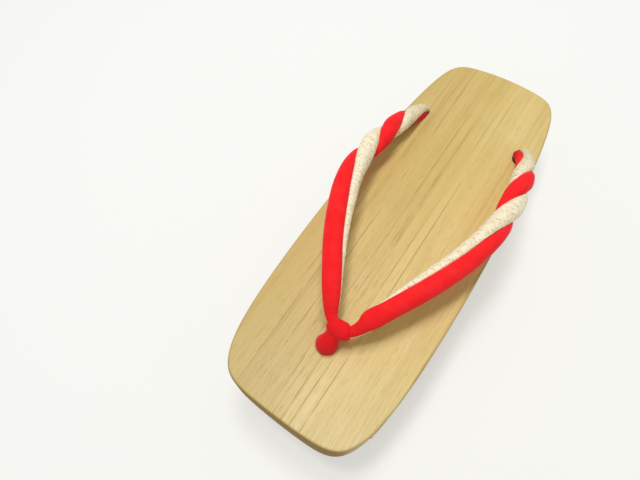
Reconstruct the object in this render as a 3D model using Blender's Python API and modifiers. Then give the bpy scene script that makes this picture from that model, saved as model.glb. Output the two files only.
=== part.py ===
"""A geta sandal: a carved wooden platform on two blocks, with a twisted two-fabric strap.

Metres, +Z up. The toe points along -Y, the heel along +Y, and the sole stands on Z = 0
with the middle of its outline over the origin.
"""
import math

import bmesh
import bpy
from mathutils import Matrix, Vector

NAME = "geta_sandal"

# Platform: outline seen from above
LENGTH = 0.2374
BALL_WIDTH = 0.0897
TOE_WIDTH = 0.0817
HEEL_WIDTH = 0.0682
BALL_FROM_TOE = 0.0955
TOE_BOW = 0.0024
HEEL_BOW = 0.0050
TOE_SQUARENESS = 6.8
HEEL_SQUARENESS = 10.4
TOE_LEAN = 0.0015
OUTLINE_POINTS = 104

# Platform: heights, blocks and the arch between them
HEIGHT = 0.045
TOE_PLATE = 0.0120
WAIST_PLATE = 0.0120
HEEL_PLATE = 0.0110
TOE_OVERHANG = 0.0210
HEEL_OVERHANG = 0.0339
FRONT_BLOCK = 0.0500
REAR_BLOCK = 0.0420
INNER_CORNER = 0.0060
RIM_ROUNDING = 0.0014
SOLE_ROUNDING = 0.0010
CORNER_STEPS = 6
OVERSHOOT = 0.01

# Strap holes and the pockets under them
FRONT_HOLE_FROM_TOE = 0.0415
FRONT_HOLE_DIAMETER = 0.0102
REAR_HOLE_FROM_HEEL = 0.0493
REAR_HOLE_SPREAD = 0.0640
REAR_HOLE_DIAMETER = 0.0102
REAR_HOLE_BACKWARD = math.radians(20.0)
REAR_HOLE_INWARD = math.radians(12.0)
HOLE_LIP = 0.0010
POCKET_DEPTH = 0.0290
FRONT_POCKET_DIAMETER = 0.0260
REAR_POCKET_LENGTH = 0.0200
POCKET_ROOM = 0.0020
REAR_POCKET_FORWARD = 0.0020
HOLE_SIDES = 28
POCKET_SIDES = 32

# Strap: its point stands over the toe hole and its legs arch to the rear holes
CLEARANCE = 0.0003
POINT_BEHIND_HOLE = 0.0070
POINT_LEAN = 0.0025
ARCH_HEIGHT = 0.0178
ARCH_SPREAD = 0.0786
STRAP_WIDTH = 0.0130
STRAP_THICKNESS = 0.0100
SEAM_TUCK = math.radians(24.0)
LOBE_POINTS = 11
STEPS_PER_ROW = 4

# Strap's leg from its point to its rear hole, as shares of the sizes above:
# back = way to the hole, out = half of the arch's spread, up = arch height,
# velvet and brocade = each half's height over the strap's width,
# thick = share of the strap's thickness, turn = turns of the seam towards the outer side
STRAP_ROWS = (
    # back   out    up     velvet brocade thick turn
    (0.000, 0.000, 0.573, 0.215, 0.169, 0.56, 0.00),
    (0.021, 0.137, 0.608, 0.215, 0.169, 0.54, 0.01),
    (0.046, 0.215, 0.690, 0.275, 0.210, 0.68, 0.01),
    (0.080, 0.283, 0.798, 0.380, 0.270, 0.89, 0.02),
    (0.137, 0.395, 0.895, 0.440, 0.300, 0.94, 0.05),
    (0.265, 0.614, 0.990, 0.545, 0.408, 1.01, 0.14),
    (0.409, 0.826, 1.000, 0.577, 0.469, 1.02, 0.19),
    (0.523, 0.952, 0.958, 0.527, 0.485, 0.99, 0.25),
    (0.605, 0.995, 0.880, 0.477, 0.496, 0.98, 0.38),
    (0.690, 0.992, 0.775, 0.477, 0.492, 0.98, 0.65),
    (0.773, 0.972, 0.650, 0.488, 0.477, 0.96, 0.91),
    (0.850, 0.942, 0.505, 0.450, 0.450, 0.91, 1.18),
    (0.910, 0.914, 0.370, 0.395, 0.395, 0.86, 1.44),
    (0.962, 0.872, 0.220, 0.345, 0.345, 0.80, 1.61),
)
HOLE_ROWS = (
    # depth as a share of how far the strap reaches down the hole, turn
    (0.15, 1.69),
    (0.55, 1.72),
    (1.00, 1.74),
)
HOLE_LOBE = 0.325
HOLE_THICK = 0.80

# Toe thong: a sleeve over the strap's point and a stem down the front hole
SLEEVE_LENGTH = 0.0096
SLEEVE_WALL = 0.0017
SLEEVE_ENVELOPE = 1.10
SLEEVE_EDGE = 0.35
SLEEVE_STEPS = 10
TUNNEL_OVERSHOOT = 0.8
STEM_WIDTH = 0.0098
STEM_THICKNESS = 0.0092
STEM_BULGE = 0.30
STEM_ROWS = (
    # way from the strap's point down to the plate, size over the stem's own
    (0.05, 0.78),
    (0.30, 0.82),
    (0.58, 0.96),
    (0.80, 1.07),
    (1.00, 1.02),
)
STEM_IN_HOLE = 0.92
RING_POINTS = 24

# Knots under the plate
KNOT_DIAMETER = 0.0130
KNOT_HEIGHT = 0.0080
NECK_DIAMETER = 0.0050
NECK_LENGTH = 0.0030
KNOT_SIDES = 24
KNOT_STEPS = 8

# Places worked out from the sizes
TOE_Y = -LENGTH / 2
TOE_TOP_Y = TOE_Y + TOE_LEAN
HEEL_Y = LENGTH / 2
BALL_Y = TOE_Y + BALL_FROM_TOE
BLOCK_FRONT = TOE_Y + TOE_OVERHANG
FRONT_HOLE_Y = TOE_Y + FRONT_HOLE_FROM_TOE
REAR_HOLE_Y = HEEL_Y - REAR_HOLE_FROM_HEEL
POINT_Y = FRONT_HOLE_Y + POINT_BEHIND_HOLE
HOLE_LENGTH = HEIGHT - POCKET_DEPTH
BACK = REAR_HOLE_Y - POINT_Y
SLOPE_BACK = math.tan(REAR_HOLE_BACKWARD)
SLOPE_IN = math.tan(REAR_HOLE_INWARD)
REAR_HOLE_X = REAR_HOLE_SPREAD / 2
REAR_EXIT_X = REAR_HOLE_X - HOLE_LENGTH * SLOPE_IN
REAR_EXIT_Y = REAR_HOLE_Y + HOLE_LENGTH * SLOPE_BACK
STRAP_END = HOLE_LENGTH - NECK_LENGTH - CLEARANCE - NECK_DIAMETER / 2 * math.hypot(SLOPE_BACK, SLOPE_IN)


def clear_scene():
    for item in list(bpy.data.objects):
        bpy.data.objects.remove(item)


def new_collection(name):
    collection = bpy.data.collections.new(name)
    bpy.context.scene.collection.children.link(collection)
    return collection


def material(name, colour, roughness, metallic=0.0):
    result = bpy.data.materials.new(name)
    result.use_nodes = True
    shader = result.node_tree.nodes["Principled BSDF"]
    shader.inputs["Base Color"].default_value = (*colour, 1.0)
    shader.inputs["Roughness"].default_value = roughness
    shader.inputs["Metallic"].default_value = metallic
    return result


def place(mesh, name, collection):
    item = bpy.data.objects.new(name, mesh)
    collection.objects.link(item)
    return item


def from_bmesh(work, name, collection):
    bmesh.ops.recalc_face_normals(work, faces=work.faces)
    mesh = bpy.data.meshes.new(name)
    work.to_mesh(mesh)
    work.free()
    return place(mesh, name, collection)


def evaluated_mesh(item, name):
    graph = bpy.context.evaluated_depsgraph_get()
    mesh = bpy.data.meshes.new_from_object(item.evaluated_get(graph))
    mesh.name = name
    return mesh


def apply_modifiers(item):
    mesh = evaluated_mesh(item, item.name)
    item.modifiers.clear()
    item.data = mesh


def boolean(item, other, operation):
    step = item.modifiers.new(operation.lower(), "BOOLEAN")
    step.operation = operation
    step.object = other
    step.solver = "EXACT"


def guide(item):
    item.hide_render = True
    item.display_type = "WIRE"


def smooth(item, angle):
    item.data.shade_smooth()
    item.data.set_sharp_from_angle(angle=angle)


def half_width(y):
    """Half of the platform's width at a distance along it: widest at the ball of the foot."""
    if y < BALL_Y:
        share = (BALL_Y - y) / (BALL_Y - TOE_TOP_Y)
        end = TOE_WIDTH
    else:
        share = (y - BALL_Y) / (HEEL_Y - BALL_Y)
        end = HEEL_WIDTH
    return (BALL_WIDTH - (BALL_WIDTH - end) * share ** 2) / 2


def outline_point(angle):
    """A point of the outline: bowed ends and sides that meet in rounded corners."""
    if math.sin(angle) < 0:
        squareness, bow, reach = TOE_SQUARENESS, TOE_BOW, -TOE_TOP_Y
    else:
        squareness, bow, reach = HEEL_SQUARENESS, HEEL_BOW, HEEL_Y
    power = 2.0 / squareness
    along = math.copysign(abs(math.sin(angle)) ** power, math.sin(angle))
    across = math.copysign(abs(math.cos(angle)) ** power, math.cos(angle))
    y = (reach - bow * across ** 2) * along
    return across * half_width(y), y


def outline():
    """Points spaced evenly along the outline, worked out from a finer run of angles."""
    fine = [outline_point(2 * math.pi * i / 4000) for i in range(4000)]
    fine.append(fine[0])
    travelled = [0.0]
    for a, b in zip(fine, fine[1:]):
        travelled.append(travelled[-1] + math.dist(a, b))
    points = []
    at = 0
    for i in range(OUTLINE_POINTS):
        target = travelled[-1] * i / OUTLINE_POINTS
        while travelled[at + 1] < target:
            at += 1
        points.append(fine[at])
    return points


def slab(points, thickness, name, collection):
    """A flat outline drawn as a 2D curve, given a thickness and turned into a mesh."""
    curve = bpy.data.curves.new(name, "CURVE")
    curve.dimensions = "2D"
    curve.fill_mode = "BOTH"
    curve.extrude = thickness / 2
    spline = curve.splines.new("POLY")
    spline.points.add(len(points) - 1)
    for point, (x, y) in zip(spline.points, points):
        point.co = (x, y, 0.0, 1.0)
    spline.use_cyclic_u = True
    drawn = place(curve, name + "_curve", collection)
    mesh = evaluated_mesh(drawn, name)
    bpy.data.objects.remove(drawn)
    work = bmesh.new()
    work.from_mesh(mesh)
    bmesh.ops.remove_doubles(work, verts=work.verts, dist=1e-5)
    work.to_mesh(mesh)
    work.free()
    return place(mesh, name, collection)


def round_rim(item, height, width, segments):
    """Round the edges of a slab that lie at one height."""
    work = bmesh.new()
    work.from_mesh(item.data)
    flat = [f for f in work.faces if abs(f.normal.z) > 0.9 and abs(f.verts[0].co.z - height) < 1e-5]
    bmesh.ops.dissolve_faces(work, faces=flat)
    rim = [e for e in work.edges if all(abs(v.co.z - height) < 1e-5 for v in e.verts)]
    bmesh.ops.bevel(work, geom=rim, offset=width, segments=segments, profile=0.5, affect="EDGES")
    work.to_mesh(item.data)
    work.free()


def lean_toe(item):
    """Slope the toe's front wall, so that the plate's lower edge stands ahead of its upper edge."""
    for vertex in item.data.vertices:
        ahead = min(max((BLOCK_FRONT - vertex.co.y) / (BLOCK_FRONT - TOE_TOP_Y), 0.0), 1.0)
        vertex.co.y -= TOE_LEAN * ahead * (HEIGHT - vertex.co.z) / TOE_PLATE


def arch_cutter(name, front, back, top, round_front, round_back, collection):
    """A cutter right across the sole, from below the floor up to a plate's underside."""
    points = [(front, -OVERSHOOT)]
    for rounded, y, sign in ((round_front, front, 1), (round_back, back, -1)):
        steps = range(CORNER_STEPS + 1) if rounded else range(1)
        radius = INNER_CORNER if rounded else 0.0
        corner = []
        for i in steps:
            turn = math.pi / 2 * i / CORNER_STEPS
            inward = radius * (1 - math.cos(turn))
            corner.append((y + sign * inward, top - radius * (1 - math.sin(turn))))
        points += corner if sign > 0 else corner[::-1]
    points.append((back, -OVERSHOOT))
    item = slab(points, BALL_WIDTH + 2 * OVERSHOOT, name, collection)
    item.matrix_world = Matrix(((0, 0, 1, 0), (1, 0, 0, 0), (0, 1, 0, 0), (0, 0, 0, 1)))
    guide(item)
    return item


def hole_cutter(name, x, y, radius, slope, collection):
    """A round hole down through the plate, widened at its upper lip."""
    profile = [
        (0.0, OVERSHOOT),
        (radius + HOLE_LIP + OVERSHOOT, OVERSHOOT),
        (radius, -HOLE_LIP),
        (radius, -HOLE_LENGTH - OVERSHOOT),
        (0.0, -HOLE_LENGTH - OVERSHOOT),
    ]
    item = turned(name, profile, HOLE_SIDES, collection)
    item.rotation_euler = Vector((0, 0, -1)).rotation_difference(Vector(slope)).to_euler()
    item.location = (x, y, HEIGHT)
    guide(item)
    return item


def turned(name, profile, sides, collection):
    """A closed body turned around Z from a profile that runs from its top to its bottom."""
    work = bmesh.new()
    verts = [work.verts.new((radius, 0.0, z)) for radius, z in profile]
    for a, b in zip(verts, verts[1:]):
        work.edges.new((a, b))
    mesh = bpy.data.meshes.new(name)
    work.to_mesh(mesh)
    work.free()
    item = place(mesh, name, collection)
    screw = item.modifiers.new("turn", "SCREW")
    screw.angle = 2 * math.pi
    screw.steps = sides
    screw.render_steps = sides
    screw.use_merge_vertices = True
    screw.merge_threshold = 1e-5
    return item


def make_platform(collection, cutters, wood):
    body = slab(outline(), HEIGHT, "platform", collection)
    round_rim(body, HEIGHT / 2, RIM_ROUNDING, 5)
    round_rim(body, -HEIGHT / 2, SOLE_ROUNDING, 2)
    body.data.transform(Matrix.Translation((0, 0, HEIGHT / 2)))
    lean_toe(body)
    block_back = HEEL_Y - HEEL_OVERHANG
    arch_front = BLOCK_FRONT + FRONT_BLOCK
    arch_back = block_back - REAR_BLOCK
    before = TOE_Y - OVERSHOOT
    behind = HEEL_Y + OVERSHOOT
    cuts = [
        arch_cutter("toe_cut", before, BLOCK_FRONT, HEIGHT - TOE_PLATE, False, True, cutters),
        arch_cutter("arch_cut", arch_front, arch_back, HEIGHT - WAIST_PLATE, True, True, cutters),
        arch_cutter("heel_cut", block_back, behind, HEIGHT - HEEL_PLATE, True, False, cutters),
        hole_cutter("toe_hole", 0.0, FRONT_HOLE_Y, FRONT_HOLE_DIAMETER / 2, (0, 0, -1), cutters),
    ]
    for side, word in ((-1, "left"), (1, "right")):
        slope = (-side * SLOPE_IN, SLOPE_BACK, -1)
        cuts.append(hole_cutter("heel_hole_" + word, side * REAR_HOLE_X, REAR_HOLE_Y,
                                REAR_HOLE_DIAMETER / 2, slope, cutters))
    cuts.append(front_pocket(cutters))
    cuts.append(rear_pocket(cutters))
    for cut in cuts:
        boolean(body, cut, "DIFFERENCE")
    body.data.materials.append(wood)
    apply_modifiers(body)
    smooth(body, math.radians(35))
    return body


def front_pocket(collection):
    item = turned("front_pocket", [
        (0.0, POCKET_DEPTH),
        (FRONT_POCKET_DIAMETER / 2, POCKET_DEPTH),
        (FRONT_POCKET_DIAMETER / 2, -OVERSHOOT),
        (0.0, -OVERSHOOT),
    ], POCKET_SIDES, collection)
    item.location = (0.0, FRONT_HOLE_Y, 0.0)
    guide(item)
    return item


def rear_pocket(collection):
    """A long slot with round ends that takes both rear knots."""
    radius = REAR_POCKET_LENGTH / 2
    reach = REAR_EXIT_X + KNOT_DIAMETER / 2 + POCKET_ROOM - radius
    points = []
    for side, start in ((1, -math.pi / 2), (-1, math.pi / 2)):
        for i in range(POCKET_SIDES // 2 + 1):
            turn = start + 2 * math.pi * i / POCKET_SIDES
            points.append((side * reach + radius * math.cos(turn), radius * math.sin(turn)))
    depth = POCKET_DEPTH + OVERSHOOT
    item = slab(points, depth, "rear_pocket", collection)
    item.location = (0.0, REAR_EXIT_Y - REAR_POCKET_FORWARD, POCKET_DEPTH - depth / 2)
    guide(item)
    return item


def spline(rows, column, t):
    """A smooth value between table rows, passing through each of them."""
    last = len(rows) - 1
    i = min(int(t), last - 1)
    local = t - i
    p1 = rows[i][column]
    p2 = rows[i + 1][column]
    p0 = rows[i - 1][column] if i > 0 else 2 * p1 - p2
    p3 = rows[i + 2][column] if i + 2 <= last else 2 * p2 - p1
    return 0.5 * (2 * p1 + (p2 - p0) * local + (2 * p0 - 5 * p1 + 4 * p2 - p3) * local ** 2
                  + (3 * p1 - p0 - 3 * p2 + p3) * local ** 3)


def leg_rows():
    """The strap's leg in metres, for the side of +X: place, half heights, half width and turn."""
    rows = []
    for back, out, up, velvet, brocade, thick, turn in STRAP_ROWS:
        spot = (out * ARCH_SPREAD / 2, POINT_Y + back * BACK, HEIGHT + up * ARCH_HEIGHT)
        sizes = (velvet * STRAP_WIDTH, brocade * STRAP_WIDTH, thick * STRAP_THICKNESS / 2)
        rows.append((*spot, *sizes, turn))
    for depth, turn in HOLE_ROWS:
        down = depth * STRAP_END
        spot = (REAR_HOLE_X - down * SLOPE_IN, REAR_HOLE_Y + down * SLOPE_BACK, HEIGHT - down)
        sizes = (HOLE_LOBE * STRAP_WIDTH, HOLE_LOBE * STRAP_WIDTH, HOLE_THICK * STRAP_THICKNESS / 2)
        rows.append((*spot, *sizes, turn))
    return rows


def strap_rows():
    """Both legs as one run of rows, from the left rear hole over the point to the right one."""
    right = leg_rows()
    left = [(-row[0], *row[1:]) for row in right[:0:-1]]
    rows = []
    for x, y, z, *rest in left + right:
        lean = POINT_LEAN * min(max((REAR_HOLE_Y - y) / BACK, 0.0), 1.0)
        rows.append((x + lean, y, z, *rest))
    return rows


ROWS = strap_rows()
MIDDLE = (len(ROWS) - 1) / 2


def station(t):
    """The strap at one place of its run: centre, direction outwards, direction up, sizes, turn."""
    ahead = Vector([spline(ROWS, c, min(t + 0.02, len(ROWS) - 1)) for c in range(3)])
    behind = Vector([spline(ROWS, c, max(t - 0.02, 0.0)) for c in range(3)])
    along = (ahead - behind).normalized()
    centre = Vector([spline(ROWS, c, t) for c in range(3)])
    up = Vector((0, 0, 1))
    up = (up - along * up.dot(along)).normalized()
    out = along.cross(up)
    velvet, brocade, thick, turn = (spline(ROWS, c, t) for c in range(3, 7))
    return centre, out, up, velvet, brocade, thick, turn * 2 * math.pi


def lobe_ring(t, part):
    """One section of a strap half: a tucked-in D on its side of the seam plane."""
    centre, out, up, velvet, brocade, thick, turn = station(t)
    across = out * math.cos(turn) - up * math.sin(turn)
    normal = up * math.cos(turn) + out * math.sin(turn)
    height = velvet if part == "velvet" else -brocade
    lift = math.copysign(CLEARANCE / 2, height)
    low = math.sin(-SEAM_TUCK)
    ring = []
    for i in range(LOBE_POINTS):
        angle = -SEAM_TUCK + (math.pi + 2 * SEAM_TUCK) * i / (LOBE_POINTS - 1)
        a = thick * math.cos(angle)
        b = lift + (height - lift) * (math.sin(angle) - low) / (1 - low)
        ring.append(centre + across * a + normal * b)
    return ring


def loft(rings, name, collection):
    """A closed body through rings of equal count, with flat ends."""
    work = bmesh.new()
    loops = [[work.verts.new(point) for point in ring] for ring in rings]
    count = len(rings[0])
    for a, b in zip(loops, loops[1:]):
        for i in range(count):
            j = (i + 1) % count
            work.faces.new((a[i], a[j], b[j], b[i]))
    work.faces.new(loops[0][::-1])
    work.faces.new(loops[-1])
    bmesh.ops.triangulate(work, faces=[f for f in work.faces if len(f.verts) > 4])
    return from_bmesh(work, name, collection)


def make_strap_half(part, collection, fabric):
    steps = (len(ROWS) - 1) * STEPS_PER_ROW
    rings = [lobe_ring(i / STEPS_PER_ROW, part) for i in range(steps + 1)]
    item = loft(rings, "strap_" + part, collection)
    item.data.materials.append(fabric)
    smooth(item, math.radians(40))
    return item


def oval(centre, out, up, half_out, half_up):
    ring = []
    for i in range(RING_POINTS):
        turn = 2 * math.pi * i / RING_POINTS
        ring.append(centre + out * half_out * math.cos(turn) + up * half_up * math.sin(turn))
    return ring


def sleeve_ring(t, grow):
    """An oval around both strap halves, grown by a wall or a clearance."""
    centre, out, up, velvet, brocade, thick, turn = station(t)
    middle = centre + up * (velvet - brocade) / 2
    half_up = (velvet + brocade) / 2 * SLEEVE_ENVELOPE + grow
    return oval(middle, out, up, thick * SLEEVE_ENVELOPE + grow, half_up)


def sleeve_reach():
    """How far the sleeve reaches from the point, in rows of the strap's run."""
    t = MIDDLE
    travelled = 0.0
    previous = station(t)[0]
    while travelled < SLEEVE_LENGTH / 2:
        t += 0.01
        here = station(t)[0]
        travelled += (here - previous).length
        previous = here
    return t - MIDDLE


def make_toe_thong(collection, cutters, fabric):
    reach = sleeve_reach()
    rings = []
    for i in range(SLEEVE_STEPS + 1):
        share = 2 * i / SLEEVE_STEPS - 1
        edge = math.sqrt(max(1 - share ** 2, 0.0))
        grow = CLEARANCE + SLEEVE_WALL * (SLEEVE_EDGE + (1 - SLEEVE_EDGE) * edge)
        rings.append(sleeve_ring(MIDDLE + reach * share, grow))
    thong = loft(rings, "toe_thong", collection)

    point = station(MIDDLE)[0]
    base = Vector((0.0, FRONT_HOLE_Y, HEIGHT))
    stem = []
    for share, size in STEM_ROWS:
        bulge = Vector((0, -1, 0)) * POINT_BEHIND_HOLE * STEM_BULGE * math.sin(math.pi * share)
        centre = point.lerp(base, share) + bulge
        stem.append((centre, size))
    stem_end = HOLE_LENGTH - NECK_LENGTH - CLEARANCE
    for depth in (0.30, 1.00):
        stem.append((base - Vector((0, 0, depth * stem_end)), STEM_IN_HOLE))
    rings = []
    for i, (centre, size) in enumerate(stem):
        ahead = stem[min(i + 1, len(stem) - 1)][0]
        behind = stem[max(i - 1, 0)][0]
        along = (ahead - behind).normalized()
        out = Vector((1, 0, 0))
        up = along.cross(out).normalized()
        rings.append(oval(centre, out, up, STEM_WIDTH / 2 * size, STEM_THICKNESS / 2 * size))
    column = loft(rings, "stem", cutters)
    guide(column)
    tunnel_rings = []
    for i in range(SLEEVE_STEPS + 1):
        share = 2 * i / SLEEVE_STEPS - 1
        tunnel_rings.append(sleeve_ring(MIDDLE + (reach + TUNNEL_OVERSHOOT) * share, CLEARANCE))
    tunnel = loft(tunnel_rings, "strap_tunnel", cutters)
    guide(tunnel)
    boolean(thong, column, "UNION")
    boolean(thong, tunnel, "DIFFERENCE")
    thong.data.materials.append(fabric)
    apply_modifiers(thong)
    smooth(thong, math.radians(50))
    return thong


def make_knot(name, x, y, collection, cord):
    """A knotted cord end that bears on the pocket's ceiling, with its neck up the hole."""
    radius = KNOT_DIAMETER / 2
    neck = NECK_DIAMETER / 2
    profile = [(0.0, NECK_LENGTH), (neck, NECK_LENGTH), (neck, -CLEARANCE)]
    for i in range(KNOT_STEPS + 1):
        turn = math.pi * i / KNOT_STEPS
        bulge = radius - KNOT_HEIGHT / 2 * (1 - math.sin(turn))
        profile.append((bulge, -CLEARANCE - KNOT_HEIGHT / 2 * (1 - math.cos(turn))))
    profile.append((0.0, -CLEARANCE - KNOT_HEIGHT))
    item = turned(name, profile, KNOT_SIDES, collection)
    item.location = (x, y, POCKET_DEPTH)
    item.data.materials.append(cord)
    apply_modifiers(item)
    smooth(item, math.radians(50))
    return item


def build():
    clear_scene()
    parts = new_collection(NAME)
    cutters = new_collection("cutters")
    wood = material("paulownia_wood", (0.68, 0.50, 0.25), 0.55)
    velvet = material("red_velvet", (0.80, 0.015, 0.02), 0.85)
    brocade = material("cream_brocade", (0.80, 0.72, 0.50), 0.60)
    cord = material("cotton_cord", (0.75, 0.72, 0.65), 0.80)
    make_platform(parts, cutters, wood)
    make_strap_half("velvet", parts, velvet)
    make_strap_half("brocade", parts, brocade)
    make_toe_thong(parts, cutters, velvet)
    make_knot("front_knot", 0.0, FRONT_HOLE_Y, parts, cord)
    for side, word in ((-1, "left"), (1, "right")):
        make_knot("rear_knot_" + word, side * REAR_EXIT_X, REAR_EXIT_Y, parts, cord)


build()
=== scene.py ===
"""Looks of the geta sandal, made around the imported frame. Metres, +Z up, toe along -Y."""
import math

import bmesh
import bpy
import numpy as np
from mathutils import Matrix, Vector, noise


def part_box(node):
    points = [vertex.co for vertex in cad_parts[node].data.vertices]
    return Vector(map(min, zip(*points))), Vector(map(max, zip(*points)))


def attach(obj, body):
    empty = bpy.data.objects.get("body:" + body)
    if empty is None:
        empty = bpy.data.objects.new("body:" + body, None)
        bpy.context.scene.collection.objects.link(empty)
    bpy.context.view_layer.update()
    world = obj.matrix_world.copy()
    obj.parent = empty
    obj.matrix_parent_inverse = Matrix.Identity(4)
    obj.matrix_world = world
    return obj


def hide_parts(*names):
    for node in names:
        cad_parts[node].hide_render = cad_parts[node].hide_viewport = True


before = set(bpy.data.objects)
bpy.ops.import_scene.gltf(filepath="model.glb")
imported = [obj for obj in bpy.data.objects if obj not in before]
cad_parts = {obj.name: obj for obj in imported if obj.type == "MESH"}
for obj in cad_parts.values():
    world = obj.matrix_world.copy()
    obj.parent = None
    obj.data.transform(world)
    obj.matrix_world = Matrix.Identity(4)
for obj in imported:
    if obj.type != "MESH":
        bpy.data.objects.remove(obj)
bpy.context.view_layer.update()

MM = 0.001

# Platform sizes, as in the frame
PLATE_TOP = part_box("platform")[1][2]
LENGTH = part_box("platform")[1][1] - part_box("platform")[0][1]
BALL_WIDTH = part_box("platform")[1][0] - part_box("platform")[0][0]
TOE_WIDTH = 81.7 * MM
HEEL_WIDTH = 68.2 * MM
BALL_FROM_TOE = 95.5 * MM
TOE_BOW = 2.4 * MM
HEEL_BOW = 5.0 * MM
TOE_SQUARENESS = 6.8
HEEL_SQUARENESS = 10.4
TOE_LEAN = 1.5 * MM
TOE_LEAN_TO_RIGHT = 0.8 * MM
DRAFT = 0.8 * MM
RIM_ROUNDING = 1.4 * MM
SOLE_ROUNDING = 1.0 * MM
WORN_EDGE = 0.7 * MM
TOE_PLATE = 12.0 * MM
WAIST_PLATE = 12.0 * MM
HEEL_PLATE = 11.0 * MM
TOE_OVERHANG = 21.0 * MM
HEEL_OVERHANG = 33.9 * MM
FRONT_BLOCK = 50.0 * MM
REAR_BLOCK = 42.0 * MM
INNER_CORNER = 6.0 * MM
FRONT_HOLE = Vector((0.3 * MM, -77.2 * MM, PLATE_TOP))
REAR_HOLE = Vector((32.0 * MM, 69.4 * MM, PLATE_TOP))
FRONT_HOLE_RADIUS = 5.0 * MM
REAR_HOLE_RADIUS = 5.1 * MM
HOLE_LIP = 0.6 * MM
HOLE_SLOPE_BACK = math.tan(math.radians(20.0))
HOLE_SLOPE_IN = math.tan(math.radians(12.0))
POCKET_DEPTH = 29.0 * MM
FRONT_POCKET_RADIUS = 13.0 * MM
REAR_POCKET_RADIUS = 10.0 * MM
REAR_POCKET_FORWARD = 2.0 * MM
POCKET_ROOM = 2.0 * MM
KNOT_RADIUS = 6.5 * MM
OVERSHOOT = 10.0 * MM
HOLE_LENGTH = PLATE_TOP - POCKET_DEPTH
REAR_EXIT = REAR_HOLE + HOLE_LENGTH * Vector((-HOLE_SLOPE_IN, HOLE_SLOPE_BACK, -1.0))
TOE_Y = -LENGTH / 2
TOE_TOP_Y = TOE_Y + TOE_LEAN
HEEL_Y = LENGTH / 2
BALL_Y = TOE_Y + BALL_FROM_TOE
BLOCK_FRONT = TOE_Y + TOE_OVERHANG


def new_object(name, verts, faces):
    mesh = bpy.data.meshes.new(name)
    mesh.from_pydata([tuple(v) for v in verts], [], faces)
    mesh.validate()
    item = bpy.data.objects.new(name, mesh)
    bpy.context.scene.collection.objects.link(item)
    return item


def apply_modifiers(item):
    graph = bpy.context.evaluated_depsgraph_get()
    mesh = bpy.data.meshes.new_from_object(item.evaluated_get(graph))
    item.modifiers.clear()
    item.data = mesh


def smooth(item, angle=None):
    item.data.shade_smooth()
    if angle is not None:
        item.data.set_sharp_from_angle(angle=math.radians(angle))


def remove(*items):
    for item in items:
        bpy.data.objects.remove(item)


def boolean(item, other, operation):
    step = item.modifiers.new(operation.lower(), "BOOLEAN")
    step.operation = operation
    step.object = other
    step.solver = "EXACT"


class Shader:
    """A material's node tree, with short calls for the nodes that the finishes use."""

    def __init__(self, name):
        self.material = bpy.data.materials.new(name)
        self.material.use_nodes = True
        self.tree = self.material.node_tree
        self.surface = self.tree.nodes["Principled BSDF"]
        texture = self.tree.nodes.new("ShaderNodeTexCoord")
        self.place = texture.outputs["Object"]
        self.facing = texture.outputs["Normal"]

    def add(self, kind, **inputs):
        node = self.tree.nodes.new("ShaderNode" + kind)
        for key, value in inputs.items():
            self.plug(node.inputs[key.replace("_", " ")], value)
        return node

    def plug(self, socket, value):
        if isinstance(value, bpy.types.NodeSocket):
            self.tree.links.new(value, socket)
        else:
            socket.default_value = value

    def scaled(self, x, y, z, source=None):
        node = self.add("Mapping", Vector=source or self.place, Scale=(x, y, z))
        return node.outputs["Vector"]

    def noise(self, vector, scale=1.0, detail=4.0, rough=0.55, distort=0.0):
        node = self.add("TexNoise", Vector=vector, Scale=scale, Detail=detail,
                        Roughness=rough, Distortion=distort)
        return node.outputs["Fac"]

    def math(self, operation, a, b=0.0):
        node = self.add("Math")
        node.operation = operation
        self.plug(node.inputs[0], a)
        self.plug(node.inputs[1], b)
        return node.outputs["Value"]

    def span(self, value, low, high, out_low=0.0, out_high=1.0):
        node = self.add("MapRange", Value=value)
        for index, number in zip((1, 2, 3, 4), (low, high, out_low, out_high)):
            node.inputs[index].default_value = number
        return node.outputs["Result"]

    def mix(self, share, a, b, blend="MIX"):
        node = self.add("MixRGB")
        node.blend_type = blend
        self.plug(node.inputs["Fac"], share)
        self.plug(node.inputs["Color1"], a)
        self.plug(node.inputs["Color2"], b)
        return node.outputs["Color"]

    def ramp(self, value, *stops):
        node = self.add("ValToRGB", Fac=value)
        ramp = node.color_ramp
        while len(ramp.elements) < len(stops):
            ramp.elements.new(0.5)
        for element, (position, colour) in zip(ramp.elements, stops):
            element.position = position
            element.color = colour
        return node.outputs["Color"]

    def attribute(self, name):
        node = self.tree.nodes.new("ShaderNodeAttribute")
        node.attribute_name = name
        return node

    def bump(self, height, distance, strength):
        node = self.add("Bump", Height=height, Distance=distance, Strength=strength)
        return node.outputs["Normal"]

    def finish(self, **sockets):
        for key, value in sockets.items():
            self.plug(self.surface.inputs[key.replace("_", " ")], value)
        return self.material


def rgb(red, green, blue):
    """A linear colour from the 0 to 255 values that a picture shows."""
    linear = []
    for value in (red, green, blue):
        share = value / 255
        linear.append(share / 12.92 if share <= 0.04045 else ((share + 0.055) / 1.055) ** 2.4)
    return (*linear, 1.0)


# Platform

def half_width(y):
    if y < BALL_Y:
        share = (BALL_Y - y) / (BALL_Y - TOE_TOP_Y)
        end = TOE_WIDTH
    else:
        share = (y - BALL_Y) / (HEEL_Y - BALL_Y)
        end = HEEL_WIDTH
    return (BALL_WIDTH - (BALL_WIDTH - end) * share ** 2) / 2


def outline_point(angle):
    if math.sin(angle) < 0:
        squareness, bow, reach = TOE_SQUARENESS, TOE_BOW, -TOE_TOP_Y
    else:
        squareness, bow, reach = HEEL_SQUARENESS, HEEL_BOW, HEEL_Y
    power = 2.0 / squareness
    along = math.copysign(abs(math.sin(angle)) ** power, math.sin(angle))
    across = math.copysign(abs(math.cos(angle)) ** power, math.cos(angle))
    y = (reach - bow * across ** 2) * along
    return across * half_width(y), y


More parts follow.
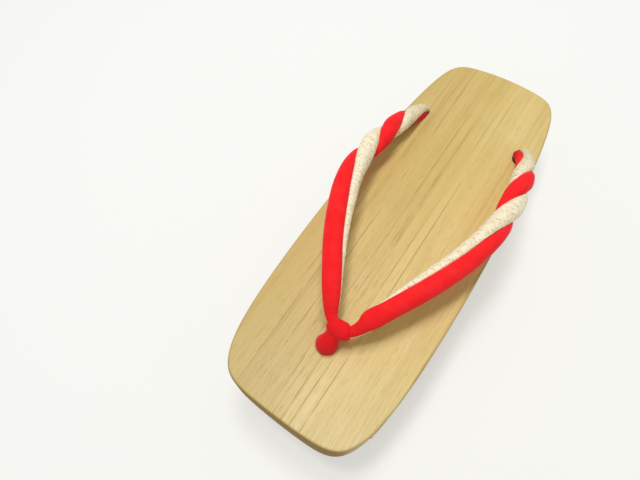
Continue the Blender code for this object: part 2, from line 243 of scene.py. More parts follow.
def outline(count):
    fine = [outline_point(2 * math.pi * i / 20000) for i in range(20000)]
    fine.append(fine[0])
    travelled = np.concatenate([[0.0], np.cumsum(np.linalg.norm(np.diff(np.array(fine), axis=0), axis=1))])
    targets = np.linspace(0.0, travelled[-1], count, endpoint=False)
    fine = np.array(fine)
    return np.stack([np.interp(targets, travelled, fine[:, k]) for k in range(2)], axis=1)


def prism(name, points, low, high, axis="Z"):
    """A closed body from an outline, extruded along Z or, for an outline in Y and Z, along X."""
    count = len(points)
    verts = []
    for level in (low, high):
        for a, b in points:
            verts.append((a, b, level) if axis == "Z" else (level, a, b))
    faces = [tuple(range(count))[::-1], tuple(range(count, 2 * count))]
    for i in range(count):
        j = (i + 1) % count
        faces.append((i, j, count + j, count + i))
    item = new_object(name, verts, faces)
    work = bmesh.new()
    work.from_mesh(item.data)
    bmesh.ops.recalc_face_normals(work, faces=work.faces)
    work.to_mesh(item.data)
    work.free()
    return item


def platform_block():
    """The block with its rounded rim, before it is cut."""
    layers = []
    for i in range(4):
        turn = math.pi / 2 * i / 3
        layers.append((SOLE_ROUNDING * (1 - math.sin(turn)), SOLE_ROUNDING * (1 - math.cos(turn))))
    for i in range(9):
        turn = math.pi / 2 * i / 8
        layers.append((RIM_ROUNDING * (1 - math.cos(turn)), PLATE_TOP - RIM_ROUNDING * (1 - math.sin(turn))))
    edge = outline(420)
    ahead = np.roll(edge, -1, axis=0)
    behind = np.roll(edge, 1, axis=0)
    along = ahead - behind
    along /= np.linalg.norm(along, axis=1)[:, None]
    inward = np.stack([-along[:, 1], along[:, 0]], axis=1)
    verts = []
    for inset, height in layers:
        for x, y in edge + inward * inset:
            ahead = min(max((BLOCK_FRONT - y) / (BLOCK_FRONT - TOE_TOP_Y), 0.0), 1.0)
            lean = TOE_LEAN + TOE_LEAN_TO_RIGHT * x / (TOE_WIDTH / 2)
            narrow = 1 - DRAFT / (BALL_WIDTH / 2) * (1 - height / PLATE_TOP)
            verts.append((x * narrow, y - lean * ahead * (PLATE_TOP - height) / TOE_PLATE, height))
    count = len(edge)
    faces = [tuple(range(count))[::-1]]
    for level in range(len(layers) - 1):
        for i in range(count):
            j = (i + 1) % count
            a = level * count
            faces.append((a + i, a + j, a + count + j, a + count + i))
    top = (len(layers) - 1) * count
    faces.append(tuple(range(top, top + count)))
    return new_object("wood_platform", verts, faces)


def arch_outline(front, back, top, round_front, round_back):
    points = [(front, -OVERSHOOT)]
    for rounded, y, sign in ((round_front, front, 1), (round_back, back, -1)):
        corner = []
        for i in range(13 if rounded else 1):
            radius = INNER_CORNER if rounded else 0.0
            turn = math.pi / 2 * i / 12
            corner.append((y + sign * radius * (1 - math.cos(turn)), top - radius * (1 - math.sin(turn))))
        points += corner if sign > 0 else corner[::-1]
    points.append((back, -OVERSHOOT))
    return points


def turned(name, profile, sides, centre, direction=Vector((0, 0, -1))):
    """A closed body turned around Z, then swung so that its way down points along a direction."""
    verts = []
    for radius, height in profile:
        for i in range(sides):
            turn = 2 * math.pi * i / sides
            verts.append(Vector((radius * math.cos(turn), radius * math.sin(turn), height)))
    swing = Vector((0, 0, -1)).rotation_difference(direction)
    verts = [centre + swing @ v for v in verts]
    faces = [tuple(range(sides)), tuple(range(len(verts) - sides, len(verts)))[::-1]]
    for level in range(len(profile) - 1):
        for i in range(sides):
            j = (i + 1) % sides
            a = level * sides
            faces.append((a + j, a + i, a + sides + i, a + sides + j))
    return new_object(name, verts, faces)


def hole_profile(radius):
    """A strap hole: a softly rounded lip, then a straight wall to below the pocket's ceiling."""
    past = OVERSHOOT * 0.4
    profile = [(radius + HOLE_LIP, past)]
    for i in range(7):
        turn = math.pi / 2 * i / 6
        profile.append((radius + HOLE_LIP * (1 - math.sin(turn)), -HOLE_LIP * (1 - math.cos(turn))))
    profile.append((radius, -HOLE_LENGTH - past))
    return profile


def make_platform():
    body = platform_block()
    block_back = HEEL_Y - HEEL_OVERHANG
    arch_front = BLOCK_FRONT + FRONT_BLOCK
    arch_back = block_back - REAR_BLOCK
    side = BALL_WIDTH
    before = TOE_Y - OVERSHOOT
    behind = HEEL_Y + OVERSHOOT
    cuts = []
    for name, profile in (
        ("toe_cut", arch_outline(before, BLOCK_FRONT, PLATE_TOP - TOE_PLATE, False, True)),
        ("arch_cut", arch_outline(arch_front, arch_back, PLATE_TOP - WAIST_PLATE, True, True)),
        ("heel_cut", arch_outline(block_back, behind, PLATE_TOP - HEEL_PLATE, True, False)),
    ):
        cuts.append(prism(name, profile, -side, side, "X"))
    cuts.append(turned("toe_hole", hole_profile(FRONT_HOLE_RADIUS), 64, FRONT_HOLE))
    for sign in (-1, 1):
        centre = Vector((sign * REAR_HOLE.x, REAR_HOLE.y, REAR_HOLE.z))
        slope = Vector((-sign * HOLE_SLOPE_IN, HOLE_SLOPE_BACK, -1.0))
        cuts.append(turned("heel_hole", hole_profile(REAR_HOLE_RADIUS), 64, centre, slope))
    ring = [(FRONT_HOLE.x + FRONT_POCKET_RADIUS * math.cos(2 * math.pi * i / 64),
             FRONT_HOLE.y + FRONT_POCKET_RADIUS * math.sin(2 * math.pi * i / 64)) for i in range(64)]
    cuts.append(prism("front_pocket", ring, -OVERSHOOT, POCKET_DEPTH))
    reach = REAR_EXIT.x + KNOT_RADIUS + POCKET_ROOM - REAR_POCKET_RADIUS
    ring = []
    for sign, start in ((1, -math.pi / 2), (-1, math.pi / 2)):
        for i in range(25):
            turn = start + math.pi * i / 24
            ring.append((sign * reach + REAR_POCKET_RADIUS * math.cos(turn),
                         REAR_EXIT.y - REAR_POCKET_FORWARD + REAR_POCKET_RADIUS * math.sin(turn)))
    cuts.append(prism("rear_pocket", ring, -OVERSHOOT, POCKET_DEPTH))
    for cut in cuts:
        boolean(body, cut, "DIFFERENCE")
        apply_modifiers(body)
    remove(*cuts)
    soften = body.modifiers.new("worn_edges", "BEVEL")
    soften.width = WORN_EDGE
    soften.segments = 3
    soften.limit_method = "ANGLE"
    soften.angle_limit = math.radians(40)
    soften.harden_normals = False
    apply_modifiers(body)
    smooth(body, 30)
    body.data.materials.clear()
    body.data.materials.append(wood_material())
    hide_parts("platform")
    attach(body, "root")
    return body


def wood_material():
    """Planed paulownia: growth lines, streaks, fibres and open pores that run along the foot, with painted
    shade and a painted sheen.
    """
    s = Shader("paulownia")
    drift = s.noise(s.scaled(16, 5, 16), detail=3.0)
    blotch = s.noise(s.scaled(60, 26, 60), detail=4.0, rough=0.6)
    bands = s.noise(s.scaled(110, 0.9, 60), detail=3.0, rough=0.55, distort=0.15)
    streaks = s.noise(s.scaled(620, 3.0, 420), detail=4.0, rough=0.62, distort=0.1)
    fibres = s.noise(s.scaled(2300, 11, 1900), detail=3.0, rough=0.65)
    pores = s.noise(s.scaled(2000, 120, 2000), detail=2.0, rough=0.5)
    tone = s.math("ADD", s.math("MULTIPLY", bands, 0.42), s.math("MULTIPLY", streaks, 0.40))
    tone = s.math("ADD", tone, s.math("MULTIPLY", blotch, 0.18))
    tone = s.math("ADD", tone, s.math("MULTIPLY", s.math("SUBTRACT", drift, 0.5), 0.35))
    colour = s.ramp(tone,
                    (0.36, rgb(190, 162, 91)),
                    (0.46, rgb(206, 180, 108)),
                    (0.54, rgb(215, 189, 118)),
                    (0.66, rgb(225, 201, 135)))
    colour = s.mix(1.0, colour, s.span(fibres, 0.3, 0.7, 0.94, 1.06), "MULTIPLY")
    wander = s.noise(s.scaled(62, 0.75, 40), detail=2.0, rough=0.45, distort=0.12)
    line = s.math("ABSOLUTE", s.math("SUBTRACT", wander, 0.5))
    line = s.math("MULTIPLY", s.span(line, 0.013, 0.001), s.span(blotch, 0.40, 0.58, 0.08, 0.90))
    facing = s.add("SeparateXYZ", Vector=s.facing).outputs
    end_grain = s.span(s.math("ABSOLUTE", facing["Y"]), 0.35, 0.75)
    line = s.math("MULTIPLY", line, s.span(end_grain, 0.0, 1.0, 1.0, 0.12))
    colour = s.mix(line, colour, rgb(148, 118, 56))
    smear = s.noise(s.scaled(70, 3.0, 70), detail=4.0, rough=0.65, distort=0.3)
    colour = s.mix(s.span(smear, 0.55, 0.72, 0.0, 0.55), colour, rgb(166, 136, 70))
    foot = s.add("SeparateXYZ", Vector=s.place).outputs
    colour = s.mix(s.span(foot["Y"], -0.095, -0.045, 0.0, 0.34), colour, rgb(207, 179, 110))
    # Painted sheen at the toe: the wood turns lighter and paler there, with painted glints along the fibres.
    colour = s.mix(s.span(foot["Y"], -0.070, -0.110, 0.0, 0.28), colour, rgb(218, 196, 148))
    glint = s.math("MULTIPLY", s.span(fibres, 0.53, 0.68), s.span(foot["Y"], -0.070, -0.112))
    colour = s.mix(s.math("MULTIPLY", glint, 0.50), colour, rgb(240, 226, 190))
    pore = s.span(pores, 0.60, 0.74)
    colour = s.mix(s.math("MULTIPLY", pore, 0.22), colour, rgb(158, 124, 68))
    # Painted shade: the wood darkens towards the plate's left side.
    colour = s.mix(s.span(foot["X"], -0.004, -0.032, 0.0, 0.55), colour, rgb(192, 164, 96))
    # Darker rim and sides: partly dirt, partly painted shade on faces that turn away from the lamps above.
    edge_dirt_and_shade = s.math("MULTIPLY", s.span(facing["Z"], 0.96, 0.55), s.span(drift, 0.3, 0.7, 0.55, 0.95))
    colour = s.mix(s.math("MULTIPLY", edge_dirt_and_shade, 0.6), colour, rgb(146, 116, 62))
    # Painted shade on the toe's front wall, which faces away from the lamps, over the slightly darker end
    # grain.
    colour = s.mix(s.span(facing["Y"], -0.35, -0.85, 0.0, 0.80), colour, rgb(142, 110, 44))
    height = s.math("SUBTRACT", s.math("MULTIPLY", fibres, 0.6), s.math("MULTIPLY", pore, 0.6))
    height = s.math("SUBTRACT", height, s.math("MULTIPLY", line, 1.0))
    normal = s.bump(height, 0.15 * MM, 0.8)
    rough = s.math("MAXIMUM", s.span(fibres, 0.3, 0.7, 0.34, 0.56), s.math("MULTIPLY", end_grain, 0.9))
    return s.finish(Base_Color=colour, Roughness=rough, Normal=normal, Specular_IOR_Level=0.4)


# Strap

# One leg from the point to the rear hole: along = place on the foot (mm), out = distance from the
# middle (mm), up = height over the plate (mm), velvet and brocade = each half's height (mm),
# thick = half of the strap's thickness (mm), turn = the seam's turn towards the outer side (degrees)
RIGHT_LEG = (
    # along   out   up    velvet brocade thick turn
    (-70.2,  0.0, 10.2, 2.8, 2.2, 2.8, 0),
    (-68.6,  5.4, 10.4, 2.8, 2.2, 2.6, 2),
    (-65.7,  8.2, 11.5, 3.2, 2.5, 2.9, 4),
    (-62.8,  9.8, 12.8, 4.2, 3.1, 3.5, 7),
    (-59.0, 11.4, 14.2, 5.2, 3.8, 4.7, 11),
    (-50.8, 15.9, 16.0, 5.7, 4.2, 4.6, 26),
    (-32.9, 24.1, 17.6, 7.0, 5.4, 5.0, 63),
    (-13.0, 32.3, 17.8, 7.2, 6.0, 5.0, 80),
    (3.8, 37.3, 16.9, 6.7, 6.2, 4.9, 98),
    (15.8, 39.3, 15.4, 6.2, 6.4, 4.9, 146),
    (28.8, 39.5, 13.4, 6.2, 6.4, 4.9, 248),
    (39.8, 39.0, 11.1, 6.3, 6.2, 4.8, 340),
    (50.8, 37.8, 8.4, 5.8, 5.8, 4.6, 448),
    (59.8, 36.0, 5.7, 4.9, 4.9, 4.2, 556),
    (65.8, 34.3, 3.0, 4.6, 4.6, 4.1, 598),
    (70.4, 31.9, -0.8, 5.2, 4.8, 4.5, 610),
    (72.2, 30.8, -6.0, 5.2, 4.6, 4.6, 612),
    (74.0, 29.9, -11.5, 4.3, 4.3, 4.2, 614),
)
LEFT_LEG = (
    (-70.2,  0.0, 10.2, 2.8, 2.2, 2.8, 0),
    (-67.6,  4.8, 11.0, 2.8, 2.2, 2.7, 1),
    (-64.6,  7.2, 12.2, 3.4, 2.6, 3.4, 2),
    (-59.8, 10.0, 14.2, 4.7, 3.2, 4.2, 4),
    (-51.4, 14.9, 16.0, 5.8, 3.5, 4.8, 10),
    (-33.6, 24.2, 17.6, 7.2, 5.2, 5.1, 36),
    (-13.4, 32.6, 17.8, 7.8, 6.2, 5.2, 56),
    (1.8, 37.5, 17.2, 7.0, 6.4, 5.0, 80),
    (12.8, 38.9, 15.9, 6.2, 6.5, 4.9, 130),
    (24.8, 38.5, 14.1, 6.2, 6.4, 4.9, 222),
    (35.8, 37.3, 12.0, 6.3, 6.2, 4.8, 318),
    (46.8, 35.9, 9.3, 5.8, 5.8, 4.6, 404),
    (56.8, 34.0, 6.4, 5.0, 5.0, 4.3, 498),
    (64.4, 32.2, 3.1, 4.3, 4.5, 4.1, 556),
    (69.7, 31.4, -0.8, 4.5, 4.6, 4.2, 572),
    (71.8, 30.9, -6.0, 4.5, 4.4, 4.3, 580),
    (74.0, 29.9, -11.5, 4.3, 4.3, 4.2, 588),
)
POINT_LEAN = 2.5
SEAM_GAP = 0.3 * MM
SEAM_TUCK = math.radians(30.0)
STATIONS_PER_ROW = 26
LOBE_POINTS = 31


def strap_rows():
    """Both legs as one run in millimetres, from the left rear hole over the point to the right one."""
    rows = [(-out, along, up, *rest) for along, out, up, *rest in LEFT_LEG[:0:-1]]
    rows += [(out, along, up, *rest) for along, out, up, *rest in RIGHT_LEG]
    rows = np.array(rows, dtype=float)
    back = REAR_HOLE.y / MM
    point = RIGHT_LEG[0][0]
    rows[:, 0] += POINT_LEAN * np.clip((back - rows[:, 1]) / (back - point), 0, 1)
    return rows


def through_rows(rows, t):
    """Values on a smooth curve through table rows, at places t counted in rows."""
    padded = np.vstack([2 * rows[0] - rows[1], rows, 2 * rows[-1] - rows[-2]])
    i = np.clip(t.astype(int), 0, len(rows) - 2)
    local = (t - i)[:, None]
    p0, p1, p2, p3 = (padded[i + k] for k in range(4))
    return 0.5 * (2 * p1 + (p2 - p0) * local + (2 * p0 - 5 * p1 + 4 * p2 - p3) * local ** 2
                  + (3 * p1 - p0 - 3 * p2 + p3) * local ** 3)


ROWS = strap_rows()
MIDDLE = len(LEFT_LEG) - 1


class Run:
    """The strap's run: centres, frames, sizes and turn at evenly spaced stations, in metres."""

    def __init__(self, low, high, count):
        t = np.linspace(low, high, count)
        values = through_rows(ROWS, t)
        self.t = t
        self.centre = values[:, :3] * MM + [0, 0, PLATE_TOP]
        last = len(ROWS) - 1
        ahead = through_rows(ROWS, np.minimum(t + 0.02, last))[:, :3]
        behind = through_rows(ROWS, np.maximum(t - 0.02, 0))[:, :3]
        self.along = (ahead - behind) / np.linalg.norm(ahead - behind, axis=1)[:, None]
        up = np.array([0.0, 0.0, 1.0]) - self.along * self.along[:, 2:3]
        self.up = up / np.linalg.norm(up, axis=1)[:, None]
        self.out = np.cross(self.along, self.up)
        self.velvet, self.brocade, self.thick = values[:, 3] * MM, values[:, 4] * MM, values[:, 5] * MM
        self.turn = np.radians(values[:, 6])
        steps = np.linalg.norm(np.diff(self.centre, axis=0), axis=1)
        self.travelled = np.concatenate([[0.0], np.cumsum(steps)])


def lobe(run, part):
    """Rings of one strap half: a D that tucks in at the seam, on its side of the seam plane."""
    cos, sin = np.cos(run.turn)[:, None], np.sin(run.turn)[:, None]
    across = run.out * cos - run.up * sin
    normal = run.up * cos + run.out * sin
    sign = 1.0 if part == "velvet" else -1.0
    height = run.velvet if part == "velvet" else run.brocade
    low = math.sin(-SEAM_TUCK)
    angles = -SEAM_TUCK + (math.pi + 2 * SEAM_TUCK) * np.arange(LOBE_POINTS) / (LOBE_POINTS - 1)
    half_gap = SEAM_GAP / 2
    rings = []
    for angle in angles:
        a = run.thick * math.cos(angle)
        b = half_gap + (height - half_gap) * (math.sin(angle) - low) / (1 - low)
        rings.append(run.centre + across * a[:, None] + normal * (sign * b)[:, None])
    return np.stack(rings, axis=1), angles


def ring_faces(stations, count):
    faces = []
    for i in range(stations - 1):
        for j in range(count):
            k = (j + 1) % count
            a, b = i * count, (i + 1) * count
            faces.append((a + j, a + k, b + k, b + j))
    faces.append(tuple(range(count))[::-1])
    faces.append(tuple(range((stations - 1) * count, stations * count)))
    return faces


def store(item, name, values):
    layer = item.data.attributes.new(name, "FLOAT", "POINT")
    layer.data.foreach_set("value", np.asarray(values, dtype=np.float32).ravel())


def outward(item):
    work = bmesh.new()
    work.from_mesh(item.data)
    bmesh.ops.recalc_face_normals(work, faces=work.faces)
    work.to_mesh(item.data)
    work.free()


def fractal(x, y, z, seed):
    return noise.fractal(Vector((x, y, z + seed)), 1.0, 2.0, 3)


# Soft unevenness of each cloth: height (mm), waves per mm along, waves per radian around, seed
WAVES = {
    "velvet": ((0.05, 0.10, 0.9, 3.1), (0.05, 0.45, 1.6, 9.7)),
    "brocade": ((0.20, 0.28, 1.1, 21.3), (0.22, 0.9, 2.0, 33.9)),
}


def make_strap_half(part, material):
    stations = (len(ROWS) - 1) * STATIONS_PER_ROW + 1
    run = Run(0.0, len(ROWS) - 1.0, stations)
    rings, angles = lobe(run, part)
    count = rings.shape[1]
    middle = rings.mean(axis=1, keepdims=True)
    away = rings - middle
    away /= np.linalg.norm(away, axis=2, keepdims=True)
    bulge = np.zeros(rings.shape[:2])
    free = np.clip(np.sin((angles - angles[0]) / (angles[-1] - angles[0]) * math.pi), 0, 1) ** 0.5
    for i in range(stations):
        at = run.travelled[i] / MM
        for j in range(count):
            wave = 0.0
            for height, along, around, seed in WAVES[part]:
                wave += height * fractal(at * along, angles[j] * around, 0.0, seed)
            bulge[i, j] = wave * free[j] * MM
    rings = rings + away * bulge[:, :, None]
    item = new_object("strap_%s_cloth" % part, rings.reshape(-1, 3), ring_faces(stations, count))
    outward(item)
    store(item, "along", np.repeat(run.travelled, count))
    store(item, "around", np.tile(np.linspace(0, 1, count), stations))
    smooth(item, 60)
    item.data.materials.append(material)
    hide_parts("strap_" + part)
    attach(item, "root")
    return item


def velvet_material():
    s = Shader("red_velvet")
    nap = s.noise(s.place, scale=2200, detail=3.0, rough=0.6)
    brushed = s.noise(s.place, scale=150, detail=4.0, rough=0.6)
    colour = s.ramp(brushed, (0.30, rgb(246, 32, 37)), (0.50, rgb(252, 38, 40)), (0.72, rgb(255, 47, 49)))
    colour = s.mix(s.span(nap, 0.35, 0.7, 0.0, 0.22), colour, rgb(196, 10, 22))
    foot = s.add("SeparateXYZ", Vector=s.place).outputs
    # Painted shade near the thong: the velvet darkens towards the strap's point.
    colour = s.mix(s.span(foot["Y"], -0.052, -0.074, 0.0, 0.45), colour, rgb(206, 16, 26))
    # Painted shade where the strap goes down into the rear holes.
    down = s.math("MULTIPLY", s.span(foot["Z"], PLATE_TOP + 5 * MM, PLATE_TOP + 1 * MM),
                  s.span(foot["Y"], 0.060, 0.065))
    colour = s.mix(s.math("MULTIPLY", down, 0.75), colour, rgb(150, 14, 22))
    normal = s.bump(nap, 0.08 * MM, 0.7)
    return s.finish(Base_Color=colour, Roughness=0.9, Normal=normal, Specular_IOR_Level=0.12,
                    Sheen_Weight=0.45, Sheen_Roughness=0.35, Sheen_Tint=(1.0, 0.34, 0.42, 1.0))


def brocade_material():
    """Crinkled cream cloth: fine ridges across the strap, with gold and grey-green flecks."""
    s = Shader("cream_brocade")
    across = s.add("CombineXYZ", X=s.attribute("along").outputs["Fac"],
                   Y=s.attribute("around").outputs["Fac"]).outputs["Vector"]
    ridges = s.noise(s.scaled(900, 5, 1, across), detail=3.0, rough=0.6, distort=0.8)
    crepe = s.noise(s.place, scale=1100, detail=3.0, rough=0.65, distort=0.5)
    figure = s.noise(s.place, scale=330, detail=3.0, rough=0.6, distort=0.5)
    fleck = s.noise(s.place, scale=760, detail=2.0, rough=0.55, distort=0.6)
    height = s.math("ADD", s.math("MULTIPLY", ridges, 0.6), s.math("MULTIPLY", crepe, 0.4))
    # The colour follows the crinkle height: painted shade in the hollows and painted light on the crests.
    colour = s.ramp(height, (0.34, rgb(198, 176, 126)), (0.45, rgb(240, 226, 188)), (0.60, rgb(252, 245, 222)))
    colour = s.mix(s.span(figure, 0.50, 0.64, 0.0, 0.24), colour, rgb(214, 194, 142))
    colour = s.mix(s.span(fleck, 0.61, 0.68, 0.0, 0.50), colour, rgb(160, 156, 118))
    colour = s.mix(s.span(fleck, 0.36, 0.31, 0.0, 0.50), colour, rgb(198, 164, 92))
    foot = s.add("SeparateXYZ", Vector=s.place).outputs["Y"]
    colour = s.mix(s.span(foot, 0.050, 0.070, 0.0, 0.45), colour, rgb(196, 172, 116))
    normal = s.bump(height, 0.50 * MM, 1.0)
    rough = s.span(figure, 0.4, 0.6, 0.45, 0.62)
    return s.finish(Base_Color=colour, Roughness=rough, Normal=normal, Specular_IOR_Level=0.4,
                    Sheen_Weight=0.15, Sheen_Roughness=0.4)


# Toe thong

SLEEVE_LEFT = 4.3 * MM
SLEEVE_RIGHT = 6.0 * MM
SLEEVE_WALL = 1.6 * MM
SLEEVE_EDGE = 0.22
SLEEVE_ENVELOPE = 1.10
STEM_HALF_WIDTH = 4.9 * MM
STEM_HALF_THICKNESS = 4.6 * MM
STEM_BULGE = 2.7 * MM
STEM_IN_HOLE = 0.98
CLOTH_VOXEL = 0.30 * MM
CLOTH_WAVE = 0.10 * MM
STEM = (
    # way down from the strap's point to the plate, size over the stem's own
    (0.05, 0.78),
    (0.30, 0.82),
    (0.58, 0.96),
    (0.80, 1.07),
    (0.92, 1.11),
    (1.00, 1.10),
)


def oval_rings(centres, outs, ups, half_outs, half_ups, count=40):
    turns = 2 * math.pi * np.arange(count) / count
    cos, sin = np.cos(turns)[None, :, None], np.sin(turns)[None, :, None]
    return (centres[:, None] + outs[:, None] * cos * np.asarray(half_outs)[:, None, None]
            + ups[:, None] * sin * np.asarray(half_ups)[:, None, None])


def ring_body(name, rings):
    item = new_object(name, rings.reshape(-1, 3), ring_faces(rings.shape[0], rings.shape[1]))
    outward(item)
    return item


def sleeve_body(name, low, high, steps, wall, edge):
    """A sleeve over both strap halves at the strap's point, thinner towards its two mouths."""
    run = Run(low, high, steps)
    share = np.linspace(-1, 1, steps)
    round_ = np.sqrt(np.clip(1 - share ** 2, 0, 1))
    grow = wall * (edge + (1 - edge) * round_)
    middle = run.centre + run.up * ((run.velvet - run.brocade) / 2)[:, None]
    half_up = (run.velvet + run.brocade) / 2 * SLEEVE_ENVELOPE + grow
    half_out = run.thick * SLEEVE_ENVELOPE + grow
    return ring_body(name, oval_rings(middle, run.out, run.up, half_out, half_up))


def place_at(distance, side):
    """The place on the run, in rows, at a distance from the strap's point along one leg."""
    run = Run(MIDDLE, MIDDLE + side * 2.0, 120)
    return float(np.interp(distance, run.travelled, side * run.t) * side)


def make_thong(material):
    low = place_at(SLEEVE_LEFT, -1)
    high = place_at(SLEEVE_RIGHT, 1)
    sleeve = sleeve_body("toe_thong_cloth", low, high, 29, SLEEVE_WALL, SLEEVE_EDGE)
    point = Run(MIDDLE, MIDDLE + 0.1, 2).centre[0]
    base = np.array(FRONT_HOLE)
    centres, sizes = [], []
    for share, size in STEM:
        bulge = np.array([0, -1, 0]) * STEM_BULGE * math.sin(math.pi * share)
        centres.append(point + (base - point) * share + bulge)
        sizes.append(size)
    for depth in (0.3, 0.78):
        centres.append(base - np.array([0, 0, depth * HOLE_LENGTH]))
        sizes.append(STEM_IN_HOLE)
    values = np.array([[*c, s, 0, 0, 0] for c, s in zip(centres, sizes)])
    t = np.linspace(0, len(values) - 1, 60)
    fine = through_rows(values, t)
    centre = fine[:, :3]
    along = np.gradient(centre, axis=0)
    along /= np.linalg.norm(along, axis=1)[:, None]
    outs = np.tile(np.array([1.0, 0.0, 0.0]), (len(t), 1))
    outs -= along * (outs * along).sum(axis=1)[:, None]
    outs /= np.linalg.norm(outs, axis=1)[:, None]
    ups = np.cross(along, outs)
    stem = ring_body("stem", oval_rings(centre, outs, ups, STEM_HALF_WIDTH * fine[:, 3],
                                        STEM_HALF_THICKNESS * fine[:, 3]))
    boolean(sleeve, stem, "UNION")
    apply_modifiers(sleeve)
    remesh = sleeve.modifiers.new("remesh", "REMESH")
    remesh.mode = "VOXEL"
    remesh.voxel_size = CLOTH_VOXEL
    blend = sleeve.modifiers.new("blend", "SMOOTH")
    blend.factor = 0.5
    blend.iterations = 22
    apply_modifiers(sleeve)
    tunnel = sleeve_body("tunnel", low - 0.5, high + 0.5, 33, SEAM_GAP, 1.0)
    boolean(sleeve, tunnel, "DIFFERENCE")
    apply_modifiers(sleeve)
    remove(stem, tunnel)
    for vertex in sleeve.data.vertices:
        p = vertex.co / MM
        vertex.co += vertex.normal * CLOTH_WAVE * fractal(p.x * 0.35, p.y * 0.35, p.z * 0.35, 5.5)
    smooth(sleeve, 50)
    sleeve.data.materials.clear()
    sleeve.data.materials.append(material)
    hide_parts("toe_thong")
    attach(sleeve, "root")
    return sleeve


# Knots under the plate

CORD_RADIUS = 1.45 * MM
STRAND_PITCH = 4.0 * MM
LOOP_SIZE = 1.55 * MM
LOOP_DROP = 3.915 * MM
TAIL_LENGTH = 7.0 * MM


def cord_material():
    s = Shader("cotton_cord")
    fuzz = s.noise(s.place, scale=1800, detail=3.0)
    colour = s.ramp(fuzz, (0.3, rgb(196, 186, 160)), (0.7, rgb(228, 221, 202)))
    return s.finish(Base_Color=colour, Roughness=0.85, Normal=s.bump(fuzz, 0.1 * MM, 0.7),
                    Sheen_Weight=0.2)


def tube(name, path, radius, strands=3, sides=24):
    """A laid cord along a path: strands show as ridges that wind around it."""
    path = np.asarray(path)
    along = np.gradient(path, axis=0)
    along /= np.linalg.norm(along, axis=1)[:, None]
    side = np.zeros_like(path)
    side[0] = np.cross(along[0], [0.3, 0.8, 0.5])
    side[0] /= np.linalg.norm(side[0])
    for i in range(1, len(path)):
        side[i] = side[i - 1] - along[i] * np.dot(side[i - 1], along[i])
        side[i] /= np.linalg.norm(side[i])
    other = np.cross(along, side)
    travelled = np.concatenate([[0.0], np.cumsum(np.linalg.norm(np.diff(path, axis=0), axis=1))])
    turns = 2 * math.pi * np.arange(sides) / sides
    rings = []
    for i in range(len(path)):
        lay = turns * strands - 2 * math.pi * travelled[i] / STRAND_PITCH
        r = radius * (0.86 + 0.14 * np.abs(np.cos(lay / 2)))
        end = min(travelled[i], travelled[-1] - travelled[i]) / radius
        r = r * math.sqrt(min(end * (2 - end), 1.0)) if end < 1 else r
        r = np.maximum(r, radius * 0.15)
        rings.append(path[i] + side[i] * (r * np.cos(turns))[:, None] + other[i] * (r * np.sin(turns))[:, None])
    return ring_body(name, np.array(rings))


def make_knot(node, centre, material, spin):
    """An overhand knot under a hole: its standing part goes up the hole and its tail hangs down."""
    t = np.linspace(0.35, 2 * math.pi - 0.35, 130)
    loop = np.stack([np.sin(t) + 2 * np.sin(2 * t),
                     np.cos(t) - 2 * np.cos(2 * t),
                     -1.15 * np.sin(3 * t)], axis=1)
    loop *= LOOP_SIZE
    lift = np.array([0.0, 0.0, -LOOP_DROP])
    top = np.array([0.0, 0.0, 3.0 * MM])
    start = loop[0] * [0.25, 0.25, 1.0]
    first = np.array([top + (start + lift - top) * k for k in np.linspace(0, 0.75, 10)])
    tail = loop[-1] + lift
    fall = np.array([0.2, 0.3, -1.0]) * TAIL_LENGTH
    last = np.array([tail + fall * k for k in np.linspace(0.15, 1, 10)])
    raw = np.vstack([first, loop[4:-4] + lift, last])
    turn = np.array(Matrix.Rotation(spin, 3, "Z"))
    raw = raw @ turn.T
    steps = np.concatenate([[0.0], np.cumsum(np.linalg.norm(np.diff(raw, axis=0), axis=1))])
    even = np.linspace(0, steps[-1], 190)
    path = np.stack([np.interp(even, steps, raw[:, k]) for k in range(3)], axis=1)
    for _ in range(6):
        path[1:-1] = (path[:-2] + 2 * path[1:-1] + path[2:]) / 4
    item = tube(node + "_cord", path + np.array(centre), CORD_RADIUS)
    smooth(item, 60)
    item.data.materials.append(material)
    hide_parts(node)
    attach(item, "root")
    return item


# Studio

def area_light(name, place, target, size, power, colour=(1.0, 1.0, 1.0)):
    data = bpy.data.lights.new(name, "AREA")
    data.shape = "SQUARE"
    data.size = size
    data.energy = power
    data.color = colour
    item = bpy.data.objects.new(name, data)
    bpy.context.scene.collection.objects.link(item)
    item.location = place
    item.rotation_euler = (Vector(target) - Vector(place)).to_track_quat("-Z", "Y").to_euler()
    return item


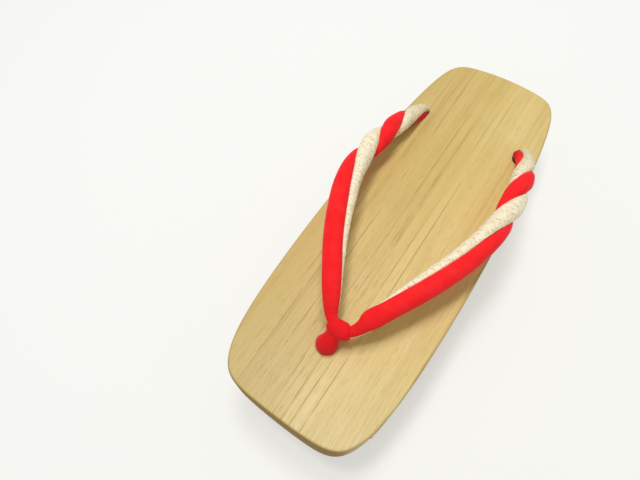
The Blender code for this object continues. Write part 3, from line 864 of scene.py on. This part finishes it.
def make_studio():
    corners = [(-1.5, -1.5, 0), (1.5, -1.5, 0), (1.5, 1.5, 0), (-1.5, 1.5, 0)]
    floor = new_object("floor", corners, [(0, 1, 2, 3)])
    s = Shader("floor_paper")
    floor.data.materials.append(s.finish(Base_Color=(0.42, 0.42, 0.41, 1.0), Roughness=0.8,
                                         Emission_Color=(1.0, 1.0, 0.96, 1.0), Emission_Strength=0.50))
    world = bpy.data.worlds.new("soft_room")
    bpy.context.scene.world = world
    world.use_nodes = True
    world.node_tree.nodes["Background"].inputs["Color"].default_value = (1.0, 1.0, 0.99, 1.0)
    world.node_tree.nodes["Background"].inputs["Strength"].default_value = 0.46
    area_light("front_lamp", (-0.17, -0.06, 1.10), (0, -0.05, 0.03), 0.16, 3.2, (1.0, 1.0, 0.99))
    area_light("rear_lamp", (-0.14, 0.26, 1.10), (0, 0.05, 0.03), 0.30, 4.4, (1.0, 1.0, 0.99))


CAMERA_PLACE = Vector((41.85 * MM, -116.68 * MM, PLATE_TOP + 226.28 * MM))
CAMERA_TURN = -0.737
CAMERA_TILT = -0.461
CAMERA_ROLL = -0.147


def make_camera():
    """A camera nearly above the toe that looks down along the foot."""
    turn = np.array(Matrix.Rotation(CAMERA_TURN, 3, "Z"))
    tilt = np.array(Matrix.Rotation(CAMERA_TILT, 3, "X"))
    roll = np.array(Matrix.Rotation(CAMERA_ROLL, 3, "Z"))
    view = roll @ tilt @ np.diag([1.0, -1.0, -1.0]) @ turn
    axes = Matrix((view[0], -view[1], -view[2])).transposed()
    data = bpy.data.cameras.new("camera")
    data.sensor_width = 36.0
    data.lens = 27.0
    data.clip_start = 0.01
    item = bpy.data.objects.new("camera", data)
    bpy.context.scene.collection.objects.link(item)
    item.matrix_world = Matrix.Translation(CAMERA_PLACE) @ axes.to_4x4()
    bpy.context.scene.camera = item


def main():
    make_camera()
    make_studio()
    velvet = velvet_material()
    make_platform()
    make_strap_half("velvet", velvet)
    make_strap_half("brocade", brocade_material())
    make_thong(velvet)
    cord = cord_material()
    make_knot("front_knot", (FRONT_HOLE.x, FRONT_HOLE.y, POCKET_DEPTH), cord, 0.4)
    make_knot("rear_knot_left", (-REAR_EXIT.x, REAR_EXIT.y, POCKET_DEPTH), cord, 2.0)
    make_knot("rear_knot_right", (REAR_EXIT.x, REAR_EXIT.y, POCKET_DEPTH), cord, -1.2)
    bpy.context.scene.view_settings.view_transform = "Standard"


main()
